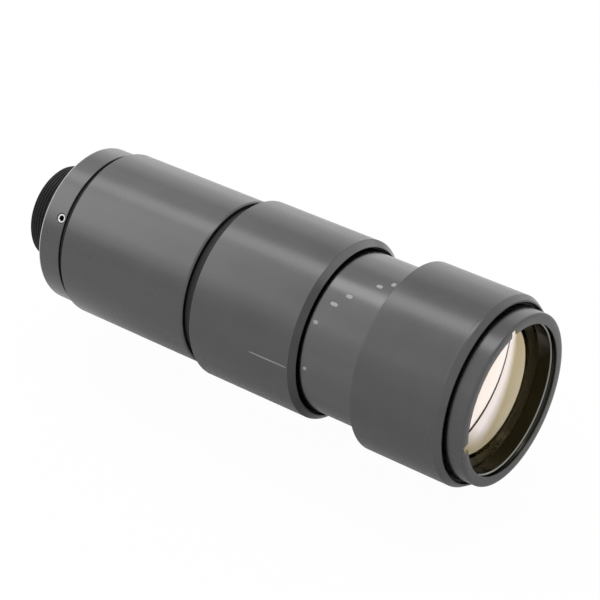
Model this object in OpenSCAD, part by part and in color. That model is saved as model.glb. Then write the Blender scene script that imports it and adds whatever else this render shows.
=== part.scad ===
// Laser beam expander with a turning rear barrel and a telescoping front barrel.
// Millimetres. The optical axis is X: light enters at the threaded neck and leaves at +X.
// X = 0 is the shoulder at the rear of the end ring, where the mounting thread begins.
// An angle round the axis is counted from +Z and grows towards -Y.

/* [Mounting neck] */
// Outside diameter of the mounting thread
thread_d = 30; // [26:0.5:32]
// Length of the mounting thread
thread_len = 12.7; // [8:0.1:20]
// Diameter of the clear hole for the incoming beam
input_bore_d = 22; // [12:0.5:23]

/* [Core tube] */
// Inside diameter of the core tube, in which both cells slide
core_bore_d = 38; // [36:0.1:44]
// Wall of the core tube
core_wall = 3.4; // [2.6:0.1:4.5]

/* [End ring] */
// Height of the end ring above the core tube
end_ring_step = 2.1; // [1:0.1:5]
// Length of the end ring
end_ring_len = 8.3; // [7:0.1:14]
// Length of the threaded spigot on the end ring that screws into the core tube
end_spigot_len = 4.7; // [3:0.1:6]
// Wall of that spigot
end_spigot_wall = 1.42; // [1.1:0.02:1.6]
// Diameter of the set screws that clamp the neck
set_screw_d = 3; // [2:0.5:4]
// Distance from the front face of the end ring to the middle of the set screws
set_screw_inset = 2.3; // [2.2:0.1:4]
// Number of set screws
set_screw_count = 3; // [1:1:4]
// Angle of the first set screw
set_screw_angle = 55; // [0:1:90]

/* [Rear barrel] */
// Gap that shows between the end ring and the rear barrel
rear_gap = 1.7; // [1:0.1:3]
// Wall of the rear barrel
rear_barrel_wall = 3.25; // [2.8:0.05:5]
// Length of the rear barrel
rear_barrel_len = 46.8; // [42:0.1:60]
// Bevel on the front edge of the rear barrel
rear_barrel_bevel = 1.1; // [0.3:0.1:1.5]
// Width of the groove between the rear barrel and the middle barrel
groove_w = 4.1; // [2.5:0.1:7]
// Wall of the stop ring at the bottom of that groove
stop_ring_wall = 1.97; // [1:0.01:2.6]
// How far the rear barrel turns each way
rear_turn = 60; // [20:1:70]
// Travel of the input lens for one whole turn of the rear barrel
rear_lead = 12; // [6:0.5:15]

/* [Middle barrel] */
// Length of the middle barrel
middle_barrel_len = 35.4; // [33:0.1:50]
// Height of the middle barrel above its collar
middle_barrel_step = 0.35; // [0.3:0.05:1.5]
// Length of the collar that stands out of the middle barrel
middle_collar_len = 2.6; // [2:0.1:4]
// Wall of that collar at its lip
middle_collar_wall = 0.6; // [0.6:0.05:1.5]
// Open gap between the collar and the scale tube
tube_gap = 2; // [1.4:0.1:3]

/* [Front barrel] */
// Wall of the scale tube
scale_tube_wall = 2.05; // [1.6:0.05:3.5]
// Length of scale tube that shows in the drawn position
exposed_len = 19.5; // [16.5:0.1:26]
// Step from the scale tube out to the bore of the front barrel
front_bore_step = 1.9; // [1.2:0.1:4]
// Wall of the front barrel
front_barrel_wall = 2.1; // [2:0.1:5]
// Length of the front barrel behind its collar
front_barrel_len = 26.8; // [24:0.1:40]
// Length of the bevelled collar on the front barrel
front_collar_len = 2.7; // [2.3:0.1:4]
// Step from the bore of the front barrel out to the opening in its collar
front_collar_step = 0.4; // [0.2:0.1:0.5]
// Angle that the front barrel turns through
front_turn = 80; // [40:1:84]
// Travel of the front barrel for one whole turn
front_lead = 66; // [30:1:67]
// Diameter of the cam pins
cam_pin_d = 4; // [3:0.1:4.5]

/* [Objective] */
// How far the nose of the objective cell stands out of the front barrel
nose_out = 5.6; // [4:0.1:9]
// Gap between the nose and the collar of the front barrel
nose_gap = 1.2; // [0.9:0.1:1.8]
// Wall of the nose round the lenses
nose_wall = 2.6; // [2:0.1:4]
// How far the lens retaining ring covers the edge of the lens
lens_lip = 0.67; // [0.4:0.01:2]
// Depth of the accessory thread in front of the retaining ring
rim_depth = 2.3; // [1:0.1:3.5]
// Step from the lens seat out to the accessory thread
rim_step = 0.75; // [0.6:0.05:1.2]
// Thickness of the retaining ring
lens_ring_len = 3.7; // [2.5:0.1:5]
// Radius of the front surface of the crown lens
front_radius = 80; // [70:1:140]
// Radius of the surface between crown and flint
inner_radius = 110; // [90:1:180]
// Thickness of the crown lens at its edge
crown_edge = 3; // [2:0.1:4.5]
// Thickness of the flint lens at its edge
flint_edge = 6; // [5.5:0.1:8]

/* [Input lens] */
// Length of the input cell
input_cell_len = 24; // [22:0.5:26]
// Diameter of the input lens
input_lens_d = 16; // [10:0.5:20]
// Thickness of the input lens at its edge
input_lens_edge = 3.5; // [2.8:0.1:4]
// Radius of the hollow face of the input lens
input_radius = 24; // [18:1:60]

/* [Hidden] */

$fn = 128;

// Clearances, all on the radius
run_fit = 0.05;    // bearing surfaces that turn or slide on each other
thread_fit = 0.03; // screwed or bonded joints, drawn without their threads
seal_gap = 0.3;    // soft rings and free running pieces
slot_fit = 0.12;   // pins and keys in their slots
eps = 0.01;

// Small sizes of the turned pieces
edge = 0.3;          // bevel on a turned outer edge
thread_bevel = 0.6;  // lead-in of the mounting thread
neck_inset = 0.5;    // the neck ends this far inside the end ring's spigot
screw_sink = 0.35;   // set screws lie this far under the end ring's surface
screw_point = 0.6;   // length of their plain points
washer_drop = 1.8;   // rear thrust washer lies this far under the rear barrel's surface
wall = 4;            // rear wall of the middle barrel
tube_room = 1;       // free room round the scale tube inside the middle barrel
skirt_len = 6;       // threaded skirt of the middle collar
skirt_wall = 0.35;
skirt_floor = 1.2;   // floor of that skirt, which carries the wiper
wiper_drop = 1.2;    // wiper ends this far inside the collar's lip
wiper_bevel = 0.4;
web = 3;             // wall between scale tube and front barrel
pin_sink = 0.15;     // cam pins lie this far under the scale tube's surface
collar_bevel = 0.95; // bevel on the front edge of the front collar
collar_land = 0.5;   // flat rim of the front collar round its opening
collar_floor = 0.5;  // wall of the front collar under its black seal
seal_len = 1;
washer_len = 0.6;    // thrust washer between front barrel and cell
flange_len = 6;      // flange of the objective cell
flange_fit = 0.1;    // that flange in the bore of the front barrel
nose_fit = 0.12;     // nose in the collar's inner lip
sleeve_wall = 1.65;  // wall of the objective cell's rear sleeve
sleeve_guide = 24;   // length of that sleeve inside the core tube
seat_step = 2;       // shoulder behind the flint lens
seat_land = 3;       // length of the bore behind that shoulder
baffle_lip = 4.5;
baffle_inset = 2;
baffle_len = 1.2;
cell_wall = 2.5;     // wall of the input cell behind its lens
lens_land = 1;       // shoulder behind the input lens, and lip of its ring
lens_stop = 2;       // thickness of that shoulder
input_ring_len = 2.5;
key_d = 3;           // guide key
key_reach = 1.05;    // the key stands this far into the cell's sleeve
key_inset = 4;       // the key's place behind the front end of the core tube
drive_pin_d = 3;     // pins that move the input cell
pin_reach = 2.3;     // the pins stand this far into the input cell
groove_depth = 1.7;  // helical groove in the bore of the rear barrel
notch_w = 2;         // spanner notches of the retaining ring
notch_depth = 1.2;
thread_lead = 0.2;   // bevel at the mouth of the accessory thread
cement = 0.05;       // layer of cement between crown and flint
cam_count = 3;
cam_angle = 20;      // first cam pin in the drawn position
drive_count = 2;
drive_angle = 90;
key_angle = 150;
notch_angle = 140;

// Radii, from the bore of the core tube outwards
core_bore_r = core_bore_d / 2;
slide_r = core_bore_r - run_fit;                  // cells that slide in the core tube
sleeve_bore_r = slide_r - sleeve_wall;
end_spigot_r = core_bore_r - thread_fit;
neck_r = end_spigot_r - end_spigot_wall - run_fit;  // plain part of the neck in the end ring
core_r = core_bore_r + core_wall;
end_ring_r = core_r + end_ring_step;
bearing_r = core_r + run_fit;                     // barrels that turn on the core tube
rear_r = bearing_r + rear_barrel_wall;
stop_ring_r = core_r + thread_fit + stop_ring_wall;
tube_r = bearing_r + scale_tube_wall;
wiper_r = tube_r + tube_gap;                      // bore of the middle collar
skirt_r = wiper_r + skirt_wall;
middle_collar_r = wiper_r + middle_collar_wall;
middle_r = middle_collar_r + middle_barrel_step;
front_bore_r = tube_r + front_bore_step;
front_r = front_bore_r + front_barrel_wall;
flange_r = front_bore_r - flange_fit;
collar_bore_r = front_bore_r + front_collar_step;
nose_r = collar_bore_r - nose_gap;
seat_r = nose_r - nose_wall;                      // seat of the objective lenses
accessory_r = seat_r + rim_step;
lens_r = seat_r - thread_fit;
clear_r = lens_r - lens_lip;
input_lens_r = input_lens_d / 2;

// Travel of the two moving cells
front_travel = front_lead * front_turn / 360;
rear_travel = rear_lead * rear_turn / 360;

// Stations along the axis, from the rear to the front
x_ring = end_ring_len;
x_screw = x_ring - set_screw_inset;
x_spigot = x_ring + end_spigot_len;
x_rear_0 = x_ring + rear_gap;
x_rear_1 = x_rear_0 + rear_barrel_len;
x_mid_0 = x_rear_1 + groove_w;
x_mid_1 = x_mid_0 + middle_barrel_len;
x_lip = x_mid_1 + middle_collar_len;
x_skirt = x_mid_1 - skirt_len;
x_wiper = x_skirt + skirt_floor;
x_front_0 = x_lip + exposed_len;
x_front_1 = x_front_0 + front_barrel_len;
x_front_lip = x_front_1 + front_collar_len;
x_seal = x_front_1 + collar_floor;
x_nose = x_front_lip + nose_out;
x_core = x_front_0 - front_travel - 1.5;         // front end of the core tube
x_tube = x_mid_0 + wall + front_travel + 0.5;    // rear end of the scale tube
x_cam = x_tube + cam_pin_d;                      // cam pins in the drawn position
x_washer = x_front_0 + web;
x_flange_0 = x_washer + washer_len;
x_flange_1 = x_flange_0 + flange_len;
x_sleeve = x_core - sleeve_guide;
x_key = x_core - key_inset;
x_drive = (x_rear_0 + x_rear_1) / 2 - 3;         // drive pins of the input cell
x_cell_0 = x_drive - input_cell_len / 2;
x_cell_1 = x_drive + input_cell_len / 2;
x_input_seat = x_cell_1 - input_lens_edge - input_ring_len;
x_input_stop = x_input_seat - lens_stop;

// Objective lenses
function sag(radius, r) = radius - sqrt(radius * radius - r * r);
x_rim = x_nose - rim_depth;
x_lens_ring = x_rim - lens_ring_len;
x_vertex = x_lens_ring + sag(front_radius, clear_r) - 0.02;  // front of the crown lens
x_crown_1 = x_vertex - sag(front_radius, lens_r);
x_crown_0 = x_crown_1 - crown_edge;
x_seat = x_crown_0 - cement - flint_edge;

black = [0.09, 0.09, 0.09];
grey = [0.42, 0.42, 0.42];
steel = [0.75, 0.75, 0.76];
brass = [0.75, 0.62, 0.32];
glass = [0.80, 0.76, 0.52];

// A turned piece. Each point is [radius, x].
module turned(points) {
    rotate([0, 90, 0]) rotate_extrude() polygon(points);
}

module ring(r_in, r_out, x_0, x_1) {
    turned([[r_in, x_0], [r_out, x_0], [r_out, x_1], [r_in, x_1]]);
}

// A round bar that points away from the axis
module radial_bar(x, angle, r_0, r_1, d) {
    rotate([angle, 0, 0]) translate([x, 0, r_0]) cylinder(h = r_1 - r_0, d = d, $fn = 32);
}

// Cutter for a milled slot with round ends, wrapped round the axis. Its middle line runs
// from (x_0, angle_0) by dx along the axis and by turn degrees round it.
module slot_cutter(x_0, angle_0, dx, turn, half_w, r_low, r_high) {
    r_mid = (r_low + r_high) / 2;
    arc = PI / 180 * r_mid;
    len = norm([dx, turn * arc]);
    dir = [dx, turn * arc] / len;
    steps = 24;
    cap = 5;
    // [reach past the end of the middle line, half width there]; the tip is a little blunt
    round_end = [for (i = [0 : cap - 1])
        [half_w * cos(90 * i / cap), half_w * sin(90 * (i + 0.35) / (cap + 0.35))]];
    // [distance along the middle line, half width there]
    stations = concat(
        [for (e = round_end) [-e[0], e[1]]],
        [for (i = [0 : steps]) [len * i / steps, half_w]],
        [for (i = [cap - 1 : -1 : 0]) [len + round_end[i][0], round_end[i][1]]]);
    n = len(stations);
    function at(s, side, r) = let (
        x = x_0 + s[0] * dir[0] - side * s[1] * dir[1],
        a = angle_0 + (s[0] * dir[1] + side * s[1] * dir[0]) / arc)
        [x, -r * sin(a), r * cos(a)];
    points = [for (s = stations)
        each [at(s, -1, r_low), at(s, 1, r_low), at(s, 1, r_high), at(s, -1, r_high)]];
    sides = [for (i = [0 : n - 2]) for (k = [0 : 3]) let (a = 4 * i + k, b = 4 * i + (k + 1) % 4)
        each [[a, b + 4, a + 4], [a, b, b + 4]]];
    last = 4 * (n - 1);
    ends = [[0, 2, 1], [0, 3, 2], [last, last + 1, last + 2], [last, last + 2, last + 3]];
    polyhedron(points, concat(sides, ends));
}

module mounting_neck() {
    color(black) turned([
        [input_bore_d / 2, -thread_len], [thread_d / 2 - thread_bevel, -thread_len],
        [thread_d / 2, -thread_len + thread_bevel], [thread_d / 2, 0], [neck_r, 0],
        [neck_r, x_spigot - neck_inset], [input_bore_d / 2, x_spigot - neck_inset]]);
}

module end_ring() {
    bore_r = neck_r + run_fit;
    color(grey) difference() {
        turned([
            [bore_r, 0], [end_ring_r - edge, 0], [end_ring_r, edge], [end_ring_r, x_ring - edge],
            [end_ring_r - edge, x_ring], [end_spigot_r, x_ring], [end_spigot_r, x_spigot],
            [bore_r, x_spigot]]);
        for (i = [0 : set_screw_count - 1])
            radial_bar(x_screw, set_screw_angle + i * 360 / set_screw_count,
                neck_r - 1, end_ring_r + 1, set_screw_d + 2 * thread_fit);
    }
}

module neck_set_screws() {
    tip_r = neck_r + eps;
    body_r = tip_r + screw_point;
    head_r = end_ring_r - screw_sink;
    socket = set_screw_d / 2;
    color(steel) for (i = [0 : set_screw_count - 1])
        rotate([set_screw_angle + i * 360 / set_screw_count, 0, 0]) translate([x_screw, 0, 0])
            difference() {
                union() {
                    translate([0, 0, tip_r]) cylinder(h = screw_point, d = set_screw_d * 0.65, $fn = 48);
                    translate([0, 0, body_r]) cylinder(h = head_r - body_r, d = set_screw_d, $fn = 48);
                }
                translate([0, 0, head_r - socket])
                    cylinder(h = socket + 1, d = socket / cos(30), $fn = 6);
            }
}

module core_tube() {
    slot_w = drive_pin_d + 2 * slot_fit;
    color(black) difference() {
        ring(core_bore_r, core_r, x_ring, x_core);
        for (i = [0 : cam_count - 1])
            slot_cutter(x_cam, cam_angle + i * 360 / cam_count, -front_travel, front_turn,
                cam_pin_d / 2 + slot_fit, core_bore_r - 1, core_r + 1);
        for (i = [0 : drive_count - 1]) {
            angle = drive_angle + i * 360 / drive_count;
            for (x = [-rear_travel, rear_travel])
                radial_bar(x_drive + x, angle, core_bore_r - 1, core_r + 1, slot_w);
            rotate([angle, 0, 0]) translate([x_drive - rear_travel, -slot_w / 2, core_bore_r - 1])
                cube([2 * rear_travel, slot_w, core_wall + 2]);
        }
        radial_bar(x_key, key_angle, core_bore_r - 1, core_r + 1, key_d + 2 * thread_fit);
    }
}

// Pin in the core tube that keeps the objective cell from turning
module guide_key() {
    color(steel) radial_bar(x_key, key_angle, slide_r - key_reach, core_r - 0.2, key_d);
}

module rear_thrust_washer() {
    color(black) ring(bearing_r, rear_r - washer_drop, x_ring, x_rear_0 - run_fit);
}

module rear_barrel() {
    color(grey) difference() {
        turned([
            [bearing_r, x_rear_0], [rear_r - edge, x_rear_0], [rear_r, x_rear_0 + edge],
            [rear_r, x_rear_1 - 1.5 * rear_barrel_bevel], [rear_r - rear_barrel_bevel, x_rear_1],
            [bearing_r, x_rear_1]]);
        for (i = [0 : drive_count - 1])
            slot_cutter(x_drive - rear_travel, drive_angle + i * 360 / drive_count + rear_turn,
                2 * rear_travel, -2 * rear_turn, drive_pin_d / 2 + slot_fit,
                bearing_r - 1, bearing_r + groove_depth);
    }
}

module stop_ring() {
    color(black) ring(core_r + thread_fit, stop_ring_r, x_rear_1 + run_fit, x_mid_0);
}

module middle_barrel() {
    bore_r = core_r + thread_fit;
    chamber_r = tube_r + tube_room;
    color(grey) turned([
        [bore_r, x_mid_0], [middle_r - edge, x_mid_0], [middle_r, x_mid_0 + edge],
        [middle_r, x_mid_1 - edge], [middle_r - edge, x_mid_1], [skirt_r + thread_fit, x_mid_1],
        [skirt_r + thread_fit, x_skirt], [chamber_r, x_skirt], [chamber_r, x_mid_0 + wall],
        [bore_r, x_mid_0 + wall]]);
}

module middle_collar() {
    r = middle_collar_r;
    color(grey) turned([
        [tube_r + 2 * seal_gap, x_skirt], [skirt_r, x_skirt], [skirt_r, x_mid_1],
        [r - 0.1, x_mid_1], [r, x_mid_1 + edge], [r, x_lip - edge], [r - edge, x_lip],
        [wiper_r, x_lip], [wiper_r, x_wiper], [tube_r + 2 * seal_gap, x_wiper]]);
}

module tube_wiper() {
    r = tube_r + seal_gap;
    front = x_lip - wiper_drop;
    color(black) turned([
        [r, x_wiper], [wiper_r - eps, x_wiper], [wiper_r - eps, front],
        [r + wiper_bevel, front], [r, front - wiper_bevel]]);
}

module input_cell() {
    lens_seat_r = input_lens_r + thread_fit;
    color(black) difference() {
        turned([
            [slide_r - cell_wall, x_cell_0], [slide_r, x_cell_0], [slide_r, x_cell_1],
            [lens_seat_r, x_cell_1], [lens_seat_r, x_input_seat], [lens_seat_r - lens_land, x_input_seat],
            [lens_seat_r - lens_land, x_input_stop], [slide_r - cell_wall, x_input_stop]]);
        for (i = [0 : drive_count - 1])
            radial_bar(x_drive, drive_angle + i * 360 / drive_count,
                slide_r - cell_wall - 1, slide_r + 1, drive_pin_d + 2 * thread_fit);
    }
}

module input_lens() {
    hollow_r = input_lens_r - lens_land;
    color(glass) rotate([0, 90, 0]) rotate_extrude() difference() {
        translate([0, x_input_seat]) square([input_lens_r, input_lens_edge]);
        translate([0, x_input_seat + input_lens_edge + input_radius - sag(input_radius, hollow_r)])
            circle(r = input_radius);
    }
}

module input_lens_ring() {
    color(black) ring(input_lens_r - lens_land, input_lens_r - eps,
        x_input_seat + input_lens_edge, x_cell_1);
}

// Pins that pass through the core tube's straight slots into the rear barrel's helical groove
module input_drive_pins() {
    color(steel) for (i = [0 : drive_count - 1])
        radial_bar(x_drive, drive_angle + i * 360 / drive_count,
            slide_r - pin_reach, bearing_r + groove_depth - seal_gap, drive_pin_d);
}

// Scale tube and front barrel, turned as one piece
module front_barrel() {
    color(grey) difference() {
        turned([
            [bearing_r, x_tube], [tube_r - edge, x_tube], [tube_r, x_tube + edge], [tube_r, x_front_0],
            [front_r - edge, x_front_0], [front_r, x_front_0 + edge], [front_r, x_front_1 - 0.2],
            [front_r - 0.2, x_front_1], [front_bore_r, x_front_1], [front_bore_r, x_washer],
            [bearing_r, x_washer]]);
        for (i = [0 : cam_count - 1])
            radial_bar(x_cam, cam_angle + i * 360 / cam_count,
                core_bore_r, tube_r + 1, cam_pin_d + 2 * thread_fit);
    }
}

module cam_pins() {
    color(steel) for (i = [0 : cam_count - 1])
        radial_bar(x_cam, cam_angle + i * 360 / cam_count,
            core_bore_r + seal_gap, tube_r - pin_sink, cam_pin_d);
}

module cell_thrust_washer() {
    color(brass) ring(slide_r + seal_gap, flange_r - seal_gap, x_washer, x_flange_0 - run_fit);
}

// Bevelled ring screwed into the front barrel; its skirt holds the objective cell in
module front_collar() {
    lip_r = nose_r + nose_fit;
    thread_r = front_bore_r - thread_fit;
    color(grey) turned([
        [lip_r, x_flange_1 + run_fit], [thread_r, x_flange_1 + run_fit], [thread_r, x_front_1],
        [front_r - 0.2, x_front_1], [front_r, x_front_1 + 0.2], [front_r, x_front_lip - 2 * collar_bevel],
        [front_r - collar_bevel / 3, x_front_lip - collar_bevel],
        [front_r - collar_bevel, x_front_lip - collar_bevel / 3],
        [collar_bore_r + collar_land, x_front_lip], [collar_bore_r, x_front_lip],
        [collar_bore_r, x_seal], [lip_r, x_seal]]);
}

module front_seal() {
    color(black) ring(nose_r + seal_gap, collar_bore_r - eps, x_seal, x_seal + seal_len);
}

module objective_cell() {
    color(grey) difference() {
        turned([
            [sleeve_bore_r, x_sleeve], [slide_r, x_sleeve], [slide_r, x_flange_0],
            [flange_r, x_flange_0], [flange_r, x_flange_1], [nose_r, x_flange_1],
            [nose_r, x_nose - 3 * edge], [nose_r - edge / 2, x_nose - edge],
            [nose_r - 1.5 * edge, x_nose], [accessory_r + thread_lead, x_nose],
            [accessory_r, x_nose - thread_lead], [accessory_r, x_rim], [seat_r, x_rim],
            [seat_r, x_seat], [seat_r - seat_step, x_seat],
            [seat_r - seat_step, x_seat - seat_land], [sleeve_bore_r, x_flange_0]]);
        // keyway for the guide key, open along the whole travel
        slot_cutter(x_key, key_angle, front_travel, 0,
            key_d / 2 + slot_fit, slide_r - key_reach - seal_gap / 2, slide_r + 1);
    }
}

module sleeve_baffle() {
    color(black) ring(sleeve_bore_r - baffle_lip, sleeve_bore_r - eps,
        x_sleeve + baffle_inset, x_sleeve + baffle_inset + baffle_len);
}

module flint_lens() {
    color(glass) rotate([0, 90, 0]) rotate_extrude() difference() {
        translate([0, x_seat]) square([lens_r, flint_edge]);
        translate([0, x_seat + flint_edge - sag(inner_radius, lens_r) + inner_radius])
            circle(r = inner_radius);
    }
}

module crown_lens() {
    color(glass) rotate([0, 90, 0]) rotate_extrude() intersection() {
        translate([0, x_seat]) square([lens_r, x_nose - x_seat]);
        translate([0, x_vertex - front_radius]) circle(r = front_radius);
        translate([0, x_crown_0 - sag(inner_radius, lens_r) + inner_radius]) circle(r = inner_radius);
    }
}

module objective_ring() {
    color(black) difference() {
        turned([
            [clear_r, x_lens_ring], [lens_r - eps, x_lens_ring], [lens_r - eps, x_rim],
            [clear_r + edge, x_rim], [clear_r, x_rim - edge]]);
        for (a = [notch_angle, notch_angle + 180]) rotate([a, 0, 0])
            translate([x_rim - notch_depth, -notch_w / 2, clear_r - 1])
                cube([notch_depth + 1, notch_w, lens_lip + 2]);
    }
}

mounting_neck();
end_ring();
neck_set_screws();
core_tube();
guide_key();
rear_thrust_washer();
rear_barrel();
stop_ring();
middle_barrel();
middle_collar();
tube_wiper();
input_cell();
input_lens();
input_lens_ring();
input_drive_pins();
front_barrel();
cam_pins();
cell_thrust_washer();
front_collar();
front_seal();
objective_cell();
sleeve_baffle();
flint_lens();
crown_lens();
objective_ring();
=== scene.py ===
import math

import bpy
import bmesh
from mathutils import Matrix, Vector


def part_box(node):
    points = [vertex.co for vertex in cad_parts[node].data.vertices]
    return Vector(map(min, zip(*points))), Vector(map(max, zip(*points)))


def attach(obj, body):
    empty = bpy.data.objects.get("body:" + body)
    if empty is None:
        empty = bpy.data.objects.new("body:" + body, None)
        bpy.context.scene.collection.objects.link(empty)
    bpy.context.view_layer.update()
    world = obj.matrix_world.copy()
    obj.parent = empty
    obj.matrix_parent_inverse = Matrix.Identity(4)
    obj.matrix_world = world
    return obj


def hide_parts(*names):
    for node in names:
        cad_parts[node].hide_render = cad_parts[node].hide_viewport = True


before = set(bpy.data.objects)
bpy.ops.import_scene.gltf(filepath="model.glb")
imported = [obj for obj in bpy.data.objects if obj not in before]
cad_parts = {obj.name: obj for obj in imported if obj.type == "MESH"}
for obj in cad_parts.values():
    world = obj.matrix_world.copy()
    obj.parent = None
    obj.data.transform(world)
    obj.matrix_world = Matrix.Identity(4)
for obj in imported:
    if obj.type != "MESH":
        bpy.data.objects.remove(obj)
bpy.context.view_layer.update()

# Lengths are in millimetres until they reach a mesh. The optical axis is X.
# An angle round the axis is counted from +Z and grows towards -Y.
mm = 0.001
looseGap = 0.05  # between the core tube and what turns on it or lies loose round it
screwedGap = 0.03  # between the core tube and what is screwed on it
crisp = 0.05  # rounding of an edge that is left as cut
eased = 0.1  # rounding of an edge that is broken lightly
nearly = 0.05  # how far off a face may lie and still count as part of a surface


def linear(hexColour):  # sRGB hex to linear RGBA
    parts = [int(hexColour[i:i + 2], 16) / 255 for i in (1, 3, 5)]
    return [c / 12.92 if c <= 0.04045 else ((c + 0.055) / 1.055) ** 2.4 for c in parts] + [1.0]


def span(node):  # rear end, front end and radius of a turned CAD node
    low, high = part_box(node)
    return low.x / mm, high.x / mm, high.y / mm


def addNode(tree, kind, settings=None, **inputs):
    # settings are the node's own fields; an input goes by its socket's name, or by i and its number
    node = tree.nodes.new(kind)
    for key, value in (settings or {}).items():
        setattr(node, key, value)
    for key, value in inputs.items():
        byNumber = key[0] == "i" and key[1:].isdigit()
        socket = node.inputs[int(key[1:]) if byNumber else key.replace("_", " ")]
        if isinstance(value, bpy.types.NodeSocket):
            tree.links.new(value, socket)
        else:
            socket.default_value = value
    return node


def startMaterial(name):
    material = bpy.data.materials.new(name)
    material.use_nodes = True
    tree = material.node_tree
    return material, tree, tree.nodes["Principled BSDF"]


noiseLow, noiseHigh = 0.3, 0.7  # a noise texture seldom leaves this range
detail = {"cloud": 3.0, "grain": 2.0, "lines": 1.0}
lineStretch = 0.01  # turning lines: the noise changes along the axis and hardly at all across it


def metalSurface(name, look):
    material, tree, shader = startMaterial(name)
    shader.inputs["Metallic"].default_value = look["metallic"]
    place = addNode(tree, "ShaderNodeTexCoord").outputs["Object"]
    cloud = addNode(tree, "ShaderNodeTexNoise", Vector=place, Scale=1 / (look["cloudSize"] * mm),
                    Detail=detail["cloud"])
    tone = addNode(tree, "ShaderNodeMix", {"data_type": "RGBA"}, Factor=cloud.outputs["Fac"],
                   i6=linear(look["dark"]), i7=linear(look["light"]))
    tree.links.new(tone.outputs[2], shader.inputs["Base Color"])
    rough = addNode(tree, "ShaderNodeMapRange", Value=cloud.outputs["Fac"],
                    From_Min=noiseLow, From_Max=noiseHigh,
                    To_Min=look["roughness"] - look["spread"], To_Max=look["roughness"] + look["spread"])
    tree.links.new(rough.outputs["Result"], shader.inputs["Roughness"])
    grain = addNode(tree, "ShaderNodeTexNoise", Vector=place, Scale=1 / (look["grainSize"] * mm),
                    Detail=detail["grain"])
    squeeze = addNode(tree, "ShaderNodeMapping", {"vector_type": "POINT"}, Vector=place,
                      Scale=(1, lineStretch, lineStretch))
    lines = addNode(tree, "ShaderNodeTexNoise", Vector=squeeze.outputs["Vector"],
                    Scale=1 / (look["lineSpacing"] * mm), Detail=detail["lines"])
    height = addNode(tree, "ShaderNodeMath", {"operation": "MULTIPLY_ADD"}, i0=lines.outputs["Fac"],
                     i1=look["lineShare"], i2=grain.outputs["Fac"])
    bump = addNode(tree, "ShaderNodeBump", Strength=look["bump"], Distance=look["bumpHeight"] * mm,
                   Height=height.outputs[0])
    tree.links.new(bump.outputs["Normal"], shader.inputs["Normal"])
    return material


# Sizes are in mm: clouds of tone, grain of the etched skin, and turning lines, which are finer on
# the real part and drawn as coarse as they need to be to show.
finishes = {
    # Anodised aluminium, fine turned and etched: a satin grey with soft long reflections. It also paints
    # light on the front of the black retaining ring.
    "greyAnodised": {
        "dark": "#555555", "light": "#5c5c5c", "metallic": 1.0, "roughness": 0.27, "spread": 0.02,
        "cloudSize": 14, "grainSize": 0.3, "lineSpacing": 0.35, "lineShare": 0.6,
        "bump": 0.12, "bumpHeight": 0.01},
    # The same, taken as turned finer on the sliding tube, which narrows its highlight; its lighter grey
    # brightens the highlight: painted highlight
    "greyFineTurnedPaintedSheen": {
        "dark": "#5d5d5d", "light": "#656565", "metallic": 1.0, "roughness": 0.23, "spread": 0.02,
        "cloudSize": 14, "grainSize": 0.3, "lineSpacing": 0.35, "lineShare": 0.6,
        "bump": 0.08, "bumpHeight": 0.01},
    # The same grey made darker for the collar: painted shade, since its chamfer reads darker than the
    # barrels
    "greyAnodisedPaintedShade": {
        "dark": "#484848", "light": "#4e4e4e", "metallic": 1.0, "roughness": 0.27, "spread": 0.02,
        "cloudSize": 14, "grainSize": 0.3, "lineSpacing": 0.35, "lineShare": 0.6,
        "bump": 0.12, "bumpHeight": 0.01},
    # Black anodised aluminium: near black and dull, so that gaps and bores read dark
    "blackAnodised": {
        "dark": "#1b1b1a", "light": "#222221", "metallic": 0.6, "roughness": 0.42, "spread": 0.04,
        "cloudSize": 8, "grainSize": 0.25, "lineSpacing": 0.3, "lineShare": 0.6,
        "bump": 0.15, "bumpHeight": 0.01},
    # The same, darker and without shine, for the ring in the middle groove: the darker black is painted
    # shade in the groove
    "blackAnodisedPaintedShade": {
        "dark": "#101010", "light": "#161615", "metallic": 0.0, "roughness": 0.68, "spread": 0.04,
        "cloudSize": 8, "grainSize": 0.25, "lineSpacing": 0.3, "lineShare": 0.4,
        "bump": 0.15, "bumpHeight": 0.01},
    # Dark anodising over a polished bore: mirrors what is in front of it, dimly
    "blackPolished": {
        "dark": "#2e2d28", "light": "#34332e", "metallic": 1.0, "roughness": 0.2, "spread": 0.02,
        "cloudSize": 6, "grainSize": 0.3, "lineSpacing": 0.3, "lineShare": 0.5,
        "bump": 0.05, "bumpHeight": 0.01},
    # A lighter metal grey for the retaining ring's bevel: a painted highlight, a thin line lighter than the
    # faces beside it
    "paintedRidgeHighlight": {
        "dark": "#7c7c78", "light": "#8c8c86", "metallic": 1.0, "roughness": 0.22, "spread": 0.03,
        "cloudSize": 9, "grainSize": 0.1, "lineSpacing": 0.2, "lineShare": 0.6,
        "bump": 0.06, "bumpHeight": 0.004},
    # Black rubber and acetal: no shine, the darkest parts
    "blackRubber": {
        "dark": "#0c0c0c", "light": "#121212", "metallic": 0.0, "roughness": 0.75, "spread": 0.05,
        "cloudSize": 5, "grainSize": 0.3, "lineSpacing": 0.5, "lineShare": 0.2,
        "bump": 0.2, "bumpHeight": 0.02},
    # Stainless steel, turned bright: small sharp highlights. It also paints highlights on the end ring's
    # rear bevel and on the notch walls of the lens cell.
    "stainlessSteelAndPaintedHighlight": {
        "dark": "#b0b0ae", "light": "#c2c2c0", "metallic": 1.0, "roughness": 0.25, "spread": 0.03,
        "cloudSize": 2, "grainSize": 0.1, "lineSpacing": 0.12, "lineShare": 1.0,
        "bump": 0.1, "bumpHeight": 0.004},
    # Turned brass: warm yellow
    "brass": {
        "dark": "#b08d4a", "light": "#c2a05a", "metallic": 1.0, "roughness": 0.3, "spread": 0.04,
        "cloudSize": 6, "grainSize": 0.2, "lineSpacing": 0.2, "lineShare": 1.0,
        "bump": 0.1, "bumpHeight": 0.006},
}
materials = {name: metalSurface(name, look) for name, look in finishes.items()}


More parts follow.
